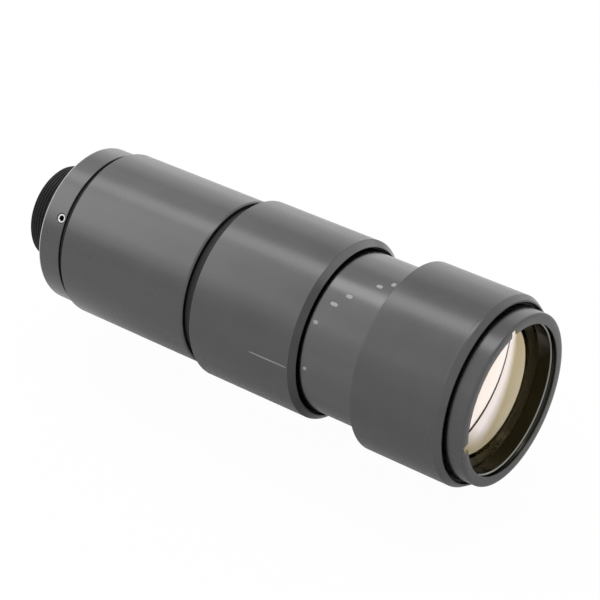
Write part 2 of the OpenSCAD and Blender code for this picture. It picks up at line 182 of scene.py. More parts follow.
def paintSurface(name, look):
    material, tree, shader = startMaterial(name)
    shader.inputs["Roughness"].default_value = look["roughness"]
    place = addNode(tree, "ShaderNodeTexCoord").outputs["Object"]
    grain = addNode(tree, "ShaderNodeTexNoise", Vector=place, Scale=1 / (look["grainSize"] * mm))
    tone = addNode(tree, "ShaderNodeMix", {"data_type": "RGBA"}, Factor=grain.outputs["Fac"],
                   i6=linear(look["dark"]), i7=linear(look["light"]))
    tree.links.new(tone.outputs[2], shader.inputs["Base Color"])
    return material


# Engraving paint: flat off-white that fills the cut lines, thinner and greyer in the long line
paints = {
    "indexPaint": {"dark": "#7d7d7b", "light": "#969694", "roughness": 0.6, "grainSize": 0.4},
    "scalePaint": {"dark": "#8e8e8c", "light": "#b4b4b2", "roughness": 0.6, "grainSize": 0.4},
}
materials.update({name: paintSurface(name, look) for name, look in paints.items()})


def glassSurface(name, look):  # glass under a film that reflects like metal and varies a little
    material, tree, glass = startMaterial(name)
    glass.inputs["Base Color"].default_value = linear(look["glass"])
    glass.inputs["Roughness"].default_value = look["roughness"]
    glass.inputs["Transmission Weight"].default_value = 1.0
    glass.inputs["IOR"].default_value = look["ior"]
    coating = addNode(tree, "ShaderNodeBsdfPrincipled", Base_Color=linear(look["coating"]), Metallic=1.0,
                      Roughness=look["roughness"], Coat_Weight=look["gloss"],
                      Coat_Roughness=look["roughness"], Coat_IOR=look["glossIor"])
    place = addNode(tree, "ShaderNodeTexCoord").outputs["Object"]
    film = addNode(tree, "ShaderNodeTexNoise", Vector=place, Scale=1 / (look["filmSize"] * mm))
    share = addNode(tree, "ShaderNodeMapRange", Value=film.outputs["Fac"],
                    From_Min=noiseLow, From_Max=noiseHigh,
                    To_Min=look["share"] - look["shareSpread"], To_Max=look["share"] + look["shareSpread"])
    both = addNode(tree, "ShaderNodeMixShader", i0=share.outputs["Result"], i1=glass.outputs[0],
                   i2=coating.outputs[0])
    tree.links.new(both.outputs[0], tree.nodes["Material Output"].inputs["Surface"])
    return material


glasses = {
    # Polished crown glass under a gold coating: mirror-smooth pale gold over a dark inside
    "coatedGlass": {"glass": "#c9c39a", "coating": "#bda562", "ior": 1.52, "roughness": 0.03,
                    "share": 0.75, "shareSpread": 0.015, "gloss": 1.0, "glossIor": 1.6, "filmSize": 9},
    # Polished glass with a thin clear coating: the inner lenses, which hardly reflect
    "clearGlass": {"glass": "#dfe6e2", "coating": "#c8d0d8", "ior": 1.6, "roughness": 0.02,
                   "share": 0.05, "shareSpread": 0.015, "gloss": 0.0, "glossIor": 1.6, "filmSize": 9},
}
materials.update({name: glassSurface(name, look) for name, look in glasses.items()})
print("materials made:", len(materials))

# How round pieces are made. A corner is rounded by no more than a share of the shorter side beside it.
turning = {"segments": 224, "cornerSteps": 4, "cornerShare": 0.45, "leastCorner": 0.004, "onAxis": 1e-6,
           "sharpAngle": 35, "cutSharpAngle": 30, "evenWeight": 60}


def roundCorners(profile):  # each point is (radius, x, size of the rounding) and the loop is closed
    points = []
    for i, (r, x, size) in enumerate(profile):
        here = Vector((r, x))
        before = Vector(profile[i - 1][:2]) - here
        after = Vector(profile[(i + 1) % len(profile)][:2]) - here
        reach = min(size, before.length * turning["cornerShare"], after.length * turning["cornerShare"])
        if reach < turning["leastCorner"] or r < turning["onAxis"]:
            points.append(here)
            continue
        start = here + before.normalized() * reach
        end = here + after.normalized() * reach
        for k in range(turning["cornerSteps"] + 1):
            t = k / turning["cornerSteps"]
            points.append((1 - t) ** 2 * start + 2 * t * (1 - t) * here + t ** 2 * end)
    return points


def roundAxis(x, radius, angle):  # a point round the axis in metres, its angle in radians
    return x * mm, -radius * mm * math.sin(angle), radius * mm * math.cos(angle)


def turnedMesh(points, segments):  # turns a closed loop of (radius, x) round the axis
    mesh = bmesh.new()
    rings = []
    for r, x in points:
        count = 1 if r < turning["onAxis"] else segments
        rings.append([mesh.verts.new(roundAxis(x, r if count > 1 else 0, 2 * math.pi * k / segments))
                      for k in range(count)])
    for i, ring in enumerate(rings):
        other = rings[(i + 1) % len(rings)]
        for k in range(segments):
            n = (k + 1) % segments
            if len(ring) > 1 and len(other) > 1:
                mesh.faces.new((ring[k], ring[n], other[n], other[k]))
            elif len(ring) > 1:
                mesh.faces.new((ring[k], ring[n], other[0]))
            elif len(other) > 1:
                mesh.faces.new((ring[0], other[n], other[k]))
    bmesh.ops.recalc_face_normals(mesh, faces=mesh.faces)
    return mesh


def addPiece(name, mesh, finish, slotName, body, *replaced):
    data = bpy.data.meshes.new(name)
    mesh.to_mesh(data)
    mesh.free()
    data.materials.append(materials[finish])
    piece = bpy.data.objects.new(name, data)
    bpy.context.scene.collection.objects.link(piece)
    data.shade_smooth()
    bpy.context.view_layer.update()
    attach(piece, body)
    if replaced:
        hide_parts(*replaced)
    return piece


def settleNormals(piece, angle):  # flat faces stay flat beside their rounded edges
    piece.data.set_sharp_from_angle(angle=math.radians(angle))
    even = piece.modifiers.new("even", "WEIGHTED_NORMAL")
    even.keep_sharp = True
    even.weight = turning["evenWeight"]


def addTurned(name, profile, finish, slotName, body, node):
    mesh = turnedMesh(roundCorners(profile), turning["segments"])
    piece = addPiece(name, mesh, finish, slotName, body, node)
    settleNormals(piece, turning["sharpAngle"])
    return piece


def radialPlace(x, angle, radius):  # X stays, Z points away from the axis
    return Matrix.Rotation(math.radians(angle), 4, "X") @ Matrix.Translation((x * mm, 0, radius * mm))


def cutAway(piece, cutter):  # subtracts a closed mesh and applies the result
    data = bpy.data.meshes.new("cutter")
    cutter.to_mesh(data)
    cutter.free()
    tool = bpy.data.objects.new("cutter", data)
    bpy.context.scene.collection.objects.link(tool)
    cut = piece.modifiers.new("cut", "BOOLEAN")
    cut.object = tool
    cut.solver = "EXACT"
    bpy.context.view_layer.update()
    graph = bpy.context.evaluated_depsgraph_get()
    result = bpy.data.meshes.new_from_object(piece.evaluated_get(graph))
    piece.modifiers.clear()
    piece.data = result
    bpy.data.objects.remove(tool)
    piece.data.shade_smooth()
    settleNormals(piece, turning["cutSharpAngle"])


def fromAxis(face):  # height of a face's middle above the axis
    return math.hypot(face.center.y, face.center.z) / mm


def arcFrom(face, angles):  # shortest way round the axis from a face's middle to one of the angles
    angle = math.degrees(math.atan2(-face.center.y, face.center.z))
    nearest = min(abs((angle - other + 180) % 360 - 180) for other in angles)
    return math.radians(nearest) * fromAxis(face)


def dressFaces(piece, more, choose):
    # more: the finishes after the first; choose(face, x, height) gives the number of a face's finish
    for finish in more:
        piece.data.materials.append(materials[finish])
    for face in piece.data.polygons:
        face.material_index = choose(face, face.center.x / mm, fromAxis(face))


coreRadius = span("core_tube")[2]

# Threaded neck. The thread is a real helix.
neck = {"boreRadius": 11.0, "boreBevel": 0.4, "threadRadius": 15.0, "pitch": 1.0, "depth": 0.4,
        "relief": 0.9, "runOut": 0.8, "bevel": 0.6, "samples": 12, "segments": 160, "sharpAngle": 50}
neckRear, neckFront, spigotRadius = span("mounting_neck")


def threadHeight(x, turn):  # radius of the thread, at a share of a full turn
    phase = (x / neck["pitch"] - turn) % 1.0
    cut = 0.5 + 0.5 * math.cos(2 * math.pi * phase)
    rise = min(1.0, (x - neckRear) / neck["bevel"])
    fade = min(1.0, max(0.0, (-neck["relief"] - x) / neck["runOut"]))
    r = neck["threadRadius"] - neck["depth"] * cut * fade
    if x > -neck["relief"]:
        r = neck["threadRadius"] - neck["depth"]
    return min(r, neck["threadRadius"] - neck["bevel"] * (1 - rise))


def makeNeck():
    mesh = bmesh.new()
    steps = int(-neckRear * neck["samples"] / neck["pitch"])
    stations = [neckRear - neckRear * j / steps for j in range(steps + 1)]
    columns = []
    for k in range(neck["segments"]):
        turn = k / neck["segments"]
        line = [(neck["boreRadius"], neckFront), (neck["boreRadius"], neckRear + neck["boreBevel"]),
                (neck["boreRadius"] + neck["boreBevel"], neckRear)]
        line += [(threadHeight(x, turn), x) for x in stations]
        line += [(spigotRadius, 0), (spigotRadius, neckFront)]
        columns.append([mesh.verts.new(roundAxis(x, r, 2 * math.pi * turn)) for r, x in line])
    for k, one in enumerate(columns):
        two = columns[(k + 1) % len(columns)]
        for j in range(len(one)):
            n = (j + 1) % len(one)
            mesh.faces.new((one[j], two[j], two[n], one[n]))
    bmesh.ops.recalc_face_normals(mesh, faces=mesh.faces)
    return mesh


threadedNeck = addPiece("threadedNeck", makeNeck(), "blackAnodised", "black_anodised", "housing",
                        "mounting_neck")
threadedNeck.data.set_sharp_from_angle(angle=math.radians(neck["sharpAngle"]))

# End ring with its three screw holes. Its rear bevel is given the bright steel colour: a painted highlight
# along the edge.
endRing = {"edge": 0.3, "brightEdgeRun": 0.38, "brightEdgeDrop": 0.12, "brightEdgeShort": 0.03, "boreRadius": 17.55,
           "spigotRadius": 18.97, "gap": 0.45, "screwX": 6.0, "screwAngle": 55, "screws": 3,
           "holeRadius": 1.62, "holeSides": 40, "holeDepth": 6.0}
ringRear, ringSpigot, ringRadius = span("end_ring")
ringFront = span("core_tube")[0] - endRing["gap"]
ringPiece = addTurned("endRing", [
    (endRing["boreRadius"], ringRear, eased),
    (ringRadius - endRing["brightEdgeDrop"], ringRear, crisp),
    (ringRadius, ringRear + endRing["brightEdgeRun"], crisp),
    (ringRadius, ringFront, endRing["edge"]),
    (endRing["spigotRadius"], ringFront, crisp),
    (endRing["spigotRadius"], ringSpigot, eased),
    (endRing["boreRadius"], ringSpigot, eased)], "greyAnodised", "grey_anodised", "housing", "end_ring")

screwAngles = [endRing["screwAngle"] + i * 360 / endRing["screws"] for i in range(endRing["screws"])]
holes = bmesh.new()
for angle in screwAngles:
    bmesh.ops.create_cone(holes, cap_ends=True, segments=endRing["holeSides"],
                          radius1=endRing["holeRadius"] * mm, radius2=endRing["holeRadius"] * mm,
                          depth=endRing["holeDepth"] * mm,
                          matrix=radialPlace(endRing["screwX"], angle, ringRadius))
cutAway(ringPiece, holes)

# Exact normals on the outside, so that the faces beside a hole shade as the others do
outside = {"depth": 0.02, "slope": 0.02}
ringPiece.modifiers.clear()
exactNormals = []
for face in ringPiece.data.polygons:
    isOutside = fromAxis(face) > ringRadius - outside["depth"] and abs(face.normal.x) < outside["slope"]
    for index in face.vertices:
        corner = ringPiece.data.vertices[index].co
        away = Vector((0, corner.y, corner.z)).normalized()
        exactNormals.append(away if isOutside else Vector((0, 0, 0)))
ringPiece.data.normals_split_custom_set(exactNormals)
# The rear bevel's faces take the steel colour: painted highlight
brightEdgeEnd = ringRear + endRing["brightEdgeRun"] - endRing["brightEdgeShort"]
dressFaces(ringPiece, ["stainlessSteelAndPaintedHighlight"], lambda face, x, height: int(
    x < brightEdgeEnd and height > ringRadius - endRing["brightEdgeDrop"]))

# Set screws with a bevelled end and a hexagon socket, whose faces are black: painted shade in the socket
screw = {"radius": 1.5, "socket": 0.8, "socketBevel": 0.1, "socketDepth": 1.4, "sink": 0.3, "bevel": 0.22,
         "length": 6.2, "sides": 48}


def makeScrews():
    levels = [(screw["radius"], -screw["length"], "round"), (screw["radius"], -screw["bevel"], "round"),
              (screw["radius"] - screw["bevel"], 0.0, "round"),
              (screw["socket"] + screw["socketBevel"], 0.0, "hexagon"),
              (screw["socket"], -screw["socketBevel"], "hexagon"),
              (screw["socket"], -screw["socketDepth"], "hexagon")]
    sixth = math.pi / 3
    mesh = bmesh.new()
    for angle in screwAngles:
        place = radialPlace(endRing["screwX"], angle, ringRadius - screw["sink"])
        rings = []
        for radius, z, shape in levels:
            ring = []
            for k in range(screw["sides"]):
                a = 2 * math.pi * k / screw["sides"]
                r = radius / math.cos((a + sixth / 2) % sixth - sixth / 2) if shape == "hexagon" else radius
                point = Vector((r * mm * math.cos(a), r * mm * math.sin(a), z * mm))
                ring.append(mesh.verts.new(place @ point))
            rings.append(ring)
        for one, two in zip(rings, rings[1:]):
            for k in range(screw["sides"]):
                n = (k + 1) % screw["sides"]
                mesh.faces.new((one[k], one[n], two[n], two[k]))
        mesh.faces.new(rings[-1])
        mesh.faces.new(list(reversed(rings[0])))
    bmesh.ops.recalc_face_normals(mesh, faces=mesh.faces)
    return mesh


screws = addPiece("setScrews", makeScrews(), "stainlessSteelAndPaintedHighlight", "stainless_steel", "housing",
                  "neck_set_screws")
settleNormals(screws, turning["cutSharpAngle"])


# Faces inside a socket take the black finish: painted shade
def socketShadeFinish(face, x, height):
    top = ringRadius - screw["sink"]
    aside = math.hypot(x - endRing["screwX"], arcFrom(face, screwAngles))
    inSocket = top - screw["socketDepth"] - nearly < height < top - nearly
    return int(inSocket and aside < screw["socket"] + screw["socketBevel"] + nearly)


dressFaces(screws, ["blackAnodised"], socketShadeFinish)
print("neck, end ring and screws made")

# Rear barrel
rearBarrel = {"rearEdge": 0.3, "bevel": 0.35, "bevelRun": 0.5, "bevelStart": 0.2, "bevelEnd": 0.15}
rear, front, radius = span("rear_barrel")
addTurned("rearBarrel", [
    (coreRadius + looseGap, rear, 0),
    (radius, rear, rearBarrel["rearEdge"]),
    (radius, front - rearBarrel["bevelRun"], rearBarrel["bevelStart"]),
    (radius - rearBarrel["bevel"], front, rearBarrel["bevelEnd"]),
    (coreRadius + looseGap, front, 0)], "greyAnodised", "grey_anodised", "rear_barrel", "rear_barrel")

# Black rings that fill the narrow grooves. The rear one starts at the end ring. The middle one's darker
# black is painted shade in its groove.
grooveRings = {"rearGapRing": ("rear_thrust_washer", "blackRubber", "black_acetal"),
               "middleGapRing": ("stop_ring", "blackAnodisedPaintedShade", "black_anodised")}
for name, (node, finish, slotName) in grooveRings.items():
    rear, front, radius = span(node)
    rear = ringFront if name == "rearGapRing" else rear
    addTurned(name, [(coreRadius + looseGap, rear, 0), (radius, rear, eased), (radius, front, eased),
                     (coreRadius + looseGap, front, 0)], finish, slotName, "housing", node)

# Middle barrel. The scale tube slides in its bore, and its front is open for the collar.
tubeRadius = 24.5
middleBarrel = {"edge": 0.3, "frontEdge": 0.12, "skirt": 26.88, "skirtRun": 6, "wall": 4, "room": 1.0}
rear, middleFront, middleRadius = span("middle_barrel")
skirtRear = middleFront - middleBarrel["skirtRun"]
middleBore = tubeRadius + middleBarrel["room"]
addTurned("middleBarrel", [
    (coreRadius + screwedGap, rear, 0),
    (middleRadius, rear, middleBarrel["edge"]),
    (middleRadius, middleFront, middleBarrel["frontEdge"]),
    (middleBarrel["skirt"], middleFront, 0),
    (middleBarrel["skirt"], skirtRear, 0),
    (middleBore, skirtRear, 0),
    (middleBore, rear + middleBarrel["wall"], 0),
    (coreRadius + screwedGap, rear + middleBarrel["wall"], 0)],
    "greyAnodised", "grey_anodised", "housing", "middle_barrel")

# Its collar: a chamfer from the barrel's edge down to the mouth, with a lip that holds the wiper. Its
# darker grey is painted shade on the chamfer.
middleCollar = {"skirt": 26.85, "rise": 0.22, "mouth": 25.75, "mouthX": 97.95, "bore": 25.55, "step": 1.2,
                "inner": 25.1, "rearBore": 26.5, "lip": 1.0}
rear, _, radius = span("middle_collar")
lipRear = middleCollar["mouthX"] - middleCollar["lip"]
addTurned("middleCollar", [
    (middleCollar["inner"], rear, 0),
    (middleCollar["skirt"], rear, 0),
    (middleCollar["skirt"], middleFront, 0),
    (radius + middleCollar["rise"], middleFront, 0),
    (middleCollar["mouth"], middleCollar["mouthX"], eased),
    (middleCollar["bore"], middleCollar["mouthX"], crisp),
    (middleCollar["bore"], lipRear, 0),
    (middleCollar["rearBore"], lipRear, 0),
    (middleCollar["rearBore"], rear + middleCollar["step"], 0),
    (middleCollar["inner"], rear + middleCollar["step"], 0)],
    "greyAnodisedPaintedShade", "grey_anodised", "housing", "middle_collar")

wiper = {"gap": 0.05, "play": 0.3, "mouth": 0.2, "mouthRun": 0.4}
rear, _, radius = span("tube_wiper")
front = lipRear - wiper["gap"]
wiperBore = tubeRadius + wiper["play"]
addTurned("tubeWiper", [
    (wiperBore, rear, 0),
    (radius, rear, 0),
    (radius, front, eased),
    (wiperBore + wiper["mouth"], front, eased),
    (wiperBore, front - wiper["mouthRun"], eased)], "blackRubber", "black_rubber", "housing", "tube_wiper")
print("rear and middle barrels made")

# Scale tube and front barrel, one piece
frontBarrel = {"edge": 0.3, "shoulder": 118.4, "bore": 26.4, "web": 3.0, "frontEdge": 0.04}
rear, barrelFront, radius = span("front_barrel")
shoulder = frontBarrel["shoulder"]
tubePiece = addTurned("frontBarrel", [
    (coreRadius + looseGap, rear, 0),
    (tubeRadius, rear, frontBarrel["edge"]),
    (tubeRadius, shoulder, eased),
    (radius, shoulder, frontBarrel["edge"]),
    (radius, barrelFront, frontBarrel["frontEdge"]),
    (frontBarrel["bore"], barrelFront, 0),
    (frontBarrel["bore"], shoulder + frontBarrel["web"], 0),
    (coreRadius + looseGap, shoulder + frontBarrel["web"], 0)],
    "greyAnodised", "grey_anodised", "front_barrel", "front_barrel")
# The scale tube takes the finer, lighter grey: its brighter highlight is partly painted
dressFaces(tubePiece, ["greyFineTurnedPaintedSheen"], lambda face, x, height: int(x < shoulder - nearly))

# Its bevelled collar screws into the front end
frontCollar = {"screwRadius": 26.37, "bore": 26.8, "inner": 25.72, "floor": 0.5, "straight": 0.9,
               "bevel": 0.95, "bevelStart": 0.3, "rimRun": 0.4, "rimEdge": 0.4, "lip": 0.5, "lipEdge": 0.3}
rear, front, radius = span("front_collar")
collarFloor = barrelFront + frontCollar["floor"]
addTurned("frontCollar", [
    (frontCollar["inner"], rear, 0),
    (frontCollar["screwRadius"], rear, 0),
    (frontCollar["screwRadius"], barrelFront, 0),
    (radius, barrelFront, frontBarrel["frontEdge"]),
    (radius, barrelFront + frontCollar["straight"], frontCollar["bevelStart"]),
    (radius - frontCollar["bevel"], front - frontCollar["rimRun"], frontCollar["rimEdge"]),
    (frontCollar["bore"] + frontCollar["lip"], front, frontCollar["lipEdge"]),
    (frontCollar["bore"], front, eased),
    (frontCollar["bore"], collarFloor, 0),
    (frontCollar["inner"], collarFloor, 0)],
    "greyAnodised", "grey_anodised", "front_barrel", "front_collar")

seal = {"bore": 25.85, "edge": 0.15}
rear, front, radius = span("front_seal")
addTurned("frontSeal", [(seal["bore"], rear, 0), (radius, rear, 0), (radius, front, seal["edge"]),
                        (seal["bore"], front, seal["edge"])],
          "blackRubber", "black_rubber", "front_barrel", "front_seal")

# Objective cell: sleeve, flange and nose. The mouth has a thin lip with two notches, as for the lugs of
# a push-on shade, whose walls are painted bright: painted highlights. The nose and its lip are grey, the
# recess behind the lip is dark and polished, and all that lies further in is black.
cell = {"sleeveRadius": 18.95, "sleeveBore": 17.3, "sleeveEdge": 0.2, "flangeRear": 122.0,
        "flangeFront": 128.0, "flangeRadius": 26.3, "noseRadius": 25.6, "noseEdge": 0.7, "noseDrop": 0.15,
        "rim": 24.2, "rimEdge": 0.8, "lip": 22.4, "lipDrop": 0.1, "lipEdge": 0.2, "lipRun": 0.6,
        "lipFlare": 0.1, "lipSlope": 0.2, "lipDark": 0.35, "recess": 23.75, "recessX": 151.2,
        "seat": 23.0, "seatX": 138.23, "clear": 21.5, "clearRun": 3.0}
notch = {"angles": (4.5, 95.5), "width": 2.4, "radius": 24.5, "over": 0.5, "reach": 1.2, "wallSlope": 0.1}
rear, noseFront, _ = span("objective_cell")
cellPiece = addTurned("objectiveCell", [
    (cell["sleeveBore"], rear, 0),
    (cell["sleeveRadius"], rear, cell["sleeveEdge"]),
    (cell["sleeveRadius"], cell["flangeRear"], 0),
    (cell["flangeRadius"], cell["flangeRear"], 0),
    (cell["flangeRadius"], cell["flangeFront"], 0),
    (cell["noseRadius"], cell["flangeFront"], 0),
    (cell["noseRadius"], noseFront - cell["noseDrop"], cell["noseEdge"]),
    (cell["rim"], noseFront, cell["rimEdge"]),
    (cell["lip"], noseFront - cell["lipDrop"], cell["lipEdge"]),
    (cell["lip"] + cell["lipFlare"], noseFront - cell["lipRun"], eased),
    (cell["recess"], noseFront - cell["lipRun"] - cell["lipSlope"], crisp),
    (cell["recess"], cell["recessX"], 0),
    (cell["seat"], cell["recessX"], 0),
    (cell["seat"], cell["seatX"], 0),
    (cell["clear"], cell["seatX"], 0),
    (cell["clear"], cell["seatX"] - cell["clearRun"], 0),
    (cell["sleeveBore"], cell["flangeRear"], 0)],
    "greyAnodised", "grey_anodised", "objective_unit", "objective_cell")
notches = bmesh.new()
notchSides = ((cell["lipRun"] + notch["over"]) * 2, notch["width"], (notch["radius"] - cell["lip"]) * 2)
notchBlock = Matrix.Diagonal([side * mm for side in notchSides] + [1])
for angle in notch["angles"]:
    bmesh.ops.create_cube(notches, size=1, matrix=radialPlace(noseFront, angle, cell["lip"]) @ notchBlock)
cutAway(cellPiece, notches)


def cellFinish(face, x, height):  # 0 grey, 1 black, 2 painted highlight in the notches, 3 polished
    inNotch = (arcFrom(face, notch["angles"]) < notch["width"] / 2 + nearly
               and x > noseFront - notch["reach"])
    onWall = cell["recess"] + 2 * nearly < height < notch["radius"] + nearly
    if inNotch and (onWall or abs(face.normal.x) < notch["wallSlope"]):
        return 2
    behindLip = (height < cell["recess"] + nearly
                 and cell["recessX"] + nearly < x < noseFront - cell["lipDark"])
    inSeat = height < cell["seat"] + nearly and x < cell["recessX"] - nearly
    if behindLip or inSeat:
        return 3 if height > cell["recess"] - 2 * nearly else 1
    return 0


dressFaces(cellPiece, ["blackAnodised", "stainlessSteelAndPaintedHighlight", "blackPolished"], cellFinish)

# Retaining ring at the step of the recess: its grey front is painted light and its lighter bevel a painted
# highlight on the black ring; polished bore
lensRing = {"bore": 22.3, "front": 151.7, "bevel": 0.35, "bevelStart": 0.03, "bevelSlope": 0.3,
            "frontSlope": 0.5}
rear, _, radius = span("objective_ring")
retainingRing = addTurned("retainingRing", [
    (radius, rear, 0), (radius, lensRing["front"], crisp),
    (lensRing["bore"] + lensRing["bevel"], lensRing["front"], crisp),
    (lensRing["bore"], lensRing["front"] - lensRing["bevel"], crisp), (lensRing["bore"], rear, 0)],
    "blackAnodised", "black_anodised", "objective_unit", "objective_ring")


def lensRingFinish(face, x, height):  # 0 black, 1 grey: painted light, 2 polished, 3 painted highlight
    inner, outer = lensRing["bore"] + lensRing["bevelStart"], lensRing["bore"] + lensRing["bevel"]
    if inner < height < outer and face.normal.x > lensRing["bevelSlope"]:
        return 3
    if face.normal.x > lensRing["frontSlope"]:
        return 1
    return 2 if height < lensRing["bore"] + nearly else 0


dressFaces(retainingRing, ["greyAnodised", "blackPolished", "paintedRidgeHighlight"], lensRingFinish)

# Crown lens: both faces are true sphere caps. The rear one is cemented to the flint lens.
crown = {"frontRadius": 80.0, "rearRadius": 110.0, "cement": 0.05, "rings": 40, "segments": 160,
         "sharpAngle": 30}


def sag(radius, height):  # how far a sphere falls back at a height from its axis
    return radius - math.sqrt(radius * radius - height * height)


_, lensVertex, lensRadius = span("crown_lens")
rearEdge = span("flint_lens")[1] + crown["cement"]
heights = [lensRadius * i / crown["rings"] for i in range(crown["rings"] + 1)]
profile = [Vector((h, lensVertex - sag(crown["frontRadius"], h))) for h in heights]
profile += [Vector((h, rearEdge - sag(crown["rearRadius"], lensRadius) + sag(crown["rearRadius"], h)))
            for h in reversed(heights)]
lens = addPiece("crownLens", turnedMesh(profile, crown["segments"]), "coatedGlass", "coated_glass",
                "objective_unit", "crown_lens")
lens.data.set_sharp_from_angle(angle=math.radians(crown["sharpAngle"]))
print("front barrel and objective made")

# Marks are pads of paint that swell a little from the surface: (x, angle, length, width round the axis)
indexLine = [(89.3, 85.8, 13.6, 0.45)]
scaleMarks = [(100.1, 85.5, 1.2, 1.0), (100.2, 52.6, 1.5, 1.1), (103.1, 37.2, 2.4, 1.1),
              (106.0, 28.5, 2.0, 1.1), (111.8, 13.0, 1.9, 1.2), (114.8, 7.0, 1.3, 1.6)]
pad = {"lift": 0.02, "rows": 8, "columns": (-1, -0.5, 0, 0.5, 1), "merge": 1e-7}


def addMarks(name, marks, radius, finish, body):
    mesh = bmesh.new()
    last = len(pad["columns"]) - 1
    for x, angle, along, across in marks:
        grid = []
        for i in range(pad["rows"] + 1):
            bow = math.pi * i / pad["rows"]
            half = math.sin(bow) ** 0.5 if 0 < i < pad["rows"] else 0.0
            row = []
            for j, v in enumerate(pad["columns"]):
                turned = angle + math.degrees(v * half * across / 2 / radius)
                height = radius + (pad["lift"] if 0 < j < last else 0.0)
                place = radialPlace(x + math.cos(bow) * along / 2, turned, height)
                row.append(mesh.verts.new(place.translation))
            grid.append(row)
        for one, two in zip(grid, grid[1:]):
            for k in range(last):
                mesh.faces.new((one[k], one[k + 1], two[k + 1], two[k]))
    bmesh.ops.remove_doubles(mesh, verts=mesh.verts, dist=pad["merge"])
    bmesh.ops.recalc_face_normals(mesh, faces=mesh.faces)
    return addPiece(name, mesh, finish, "grey_anodised", body)


addMarks("indexLine", indexLine, middleRadius, "indexPaint", "housing")
addMarks("scaleMarks", scaleMarks, tubeRadius, "scalePaint", "front_barrel")

# Nodes that stay as the CAD made them
carried = {"core_tube": "blackAnodised", "guide_key": "stainlessSteelAndPaintedHighlight", "input_cell": "blackAnodised",
           "input_lens": "clearGlass", "input_lens_ring": "blackAnodised",
           "input_drive_pins": "stainlessSteelAndPaintedHighlight", "cam_pins": "stainlessSteelAndPaintedHighlight",
           "cell_thrust_washer": "brass", "sleeve_baffle": "blackAnodised", "flint_lens": "clearGlass"}
for node, finish in carried.items():
    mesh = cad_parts[node].data
    mesh.materials.clear()
    mesh.materials.append(materials[finish])
print("marks made, inner pieces dressed")

# The floor is pale paper. The camera sees it white, and what mirrors it sees a little of that white.
stage = {"drop": 38, "half": 3000, "middle": 70, "paper": "#f4f4f4", "roughness": 0.9, "white": 0.97,
         "mirroredWhite": 0.08}


def floorPaper():
    material, tree, base = startMaterial("floorPaper")
    base.inputs["Base Color"].default_value = linear(stage["paper"])
    base.inputs["Roughness"].default_value = stage["roughness"]
    ray = addNode(tree, "ShaderNodeLightPath")
    glow = addNode(tree, "ShaderNodeEmission", Color=(1, 1, 1, 1), Strength=1.0)
    mirrored = addNode(tree, "ShaderNodeMath", {"operation": "MULTIPLY"}, i0=ray.outputs["Is Glossy Ray"],
                       i1=stage["mirroredWhite"])
    seen = addNode(tree, "ShaderNodeMath", {"operation": "MAXIMUM"}, i0=ray.outputs["Is Camera Ray"],
                   i1=mirrored.outputs[0])
    share = addNode(tree, "ShaderNodeMath", {"operation": "MULTIPLY"}, i0=seen.outputs[0],
                    i1=stage["white"])
    both = addNode(tree, "ShaderNodeMixShader", i0=share.outputs[0], i1=base.outputs[0], i2=glow.outputs[0])
    tree.links.new(both.outputs[0], tree.nodes["Material Output"].inputs["Surface"])
    return material


floorMesh = bmesh.new()
bmesh.ops.create_grid(floorMesh, x_segments=2, y_segments=2, size=stage["half"] * mm)
floorData = bpy.data.meshes.new("floor")
floorMesh.to_mesh(floorData)
floorMesh.free()
floorData.materials.append(floorPaper())
floor = bpy.data.objects.new("floor", floorData)
floor.location = (stage["middle"] * mm, 0, -stage["drop"] * mm)
bpy.context.scene.collection.objects.link(floor)

# The world lights softly, and is white where it is seen, mirrored or looked at through glass
sky = {"light": 0.7, "seen": 1.0}


def makeWorld():
    world = bpy.data.worlds.new("studio")
    bpy.context.scene.world = world
    world.use_nodes = True
    tree = world.node_tree
    back = tree.nodes["Background"]
    back.inputs["Color"].default_value = (1, 1, 1, 1)
    ray = addNode(tree, "ShaderNodeLightPath")
    direct = addNode(tree, "ShaderNodeMath", {"operation": "MAXIMUM"}, i0=ray.outputs["Is Camera Ray"],
                     i1=ray.outputs["Is Glossy Ray"])
    seen = addNode(tree, "ShaderNodeMath", {"operation": "MAXIMUM"}, i0=direct.outputs[0],
                   i1=ray.outputs["Is Transmission Ray"])
    strength = addNode(tree, "ShaderNodeMapRange", Value=seen.outputs[0], To_Min=sky["light"],
                       To_Max=sky["seen"])
    tree.links.new(strength.outputs["Result"], back.inputs["Strength"])


makeWorld()

# Softboxes round the axis. The angle is counted like the part's own, lengths are in metres, and the glow
# is what each adds in a mirror to the world's 1. "only" names the one piece that a softbox lights.
softboxDistance = 0.8
softboxes = {
    "topStrip": {"angle": -5, "height": 0.25, "from": -1.3, "to": 0.5, "glow": 1.9},
    "leftWide": {"angle": 32, "height": 0.68, "from": -1.4, "to": -0.31, "glow": 0.22},
    "leftMiddle": {"angle": 31.5, "height": 0.7, "from": -1.4, "to": -0.41, "glow": 0.48},
    "leftNarrow": {"angle": 38, "height": 0.95, "from": -1.4, "to": -0.46, "glow": 0.8},
    "lowerEdge": {"angle": 57, "height": 0.05, "from": -0.36, "to": 0.3, "glow": 0.35},
    "backWide": {"angle": -82, "height": 1.1, "from": -1.4, "to": 0.5, "glow": 0.4},
    "backNarrow": {"angle": -62, "height": 1.3, "from": -1.4, "to": -0.4, "glow": 0.2},
    "chamferTop": {"angle": -45, "height": 1.5, "from": 0.0, "to": 1.6, "glow": 0.9,
                   "only": "middleCollar"},
    "topRear": {"angle": -26, "height": 0.36, "from": -1.4, "to": -0.42, "glow": 0.4},
}


def lightOnly(source, pieceName):
    lit = bpy.data.collections.new(source.name)
    lit.objects.link(bpy.data.objects[pieceName])
    source.light_linking.receiver_collection = lit


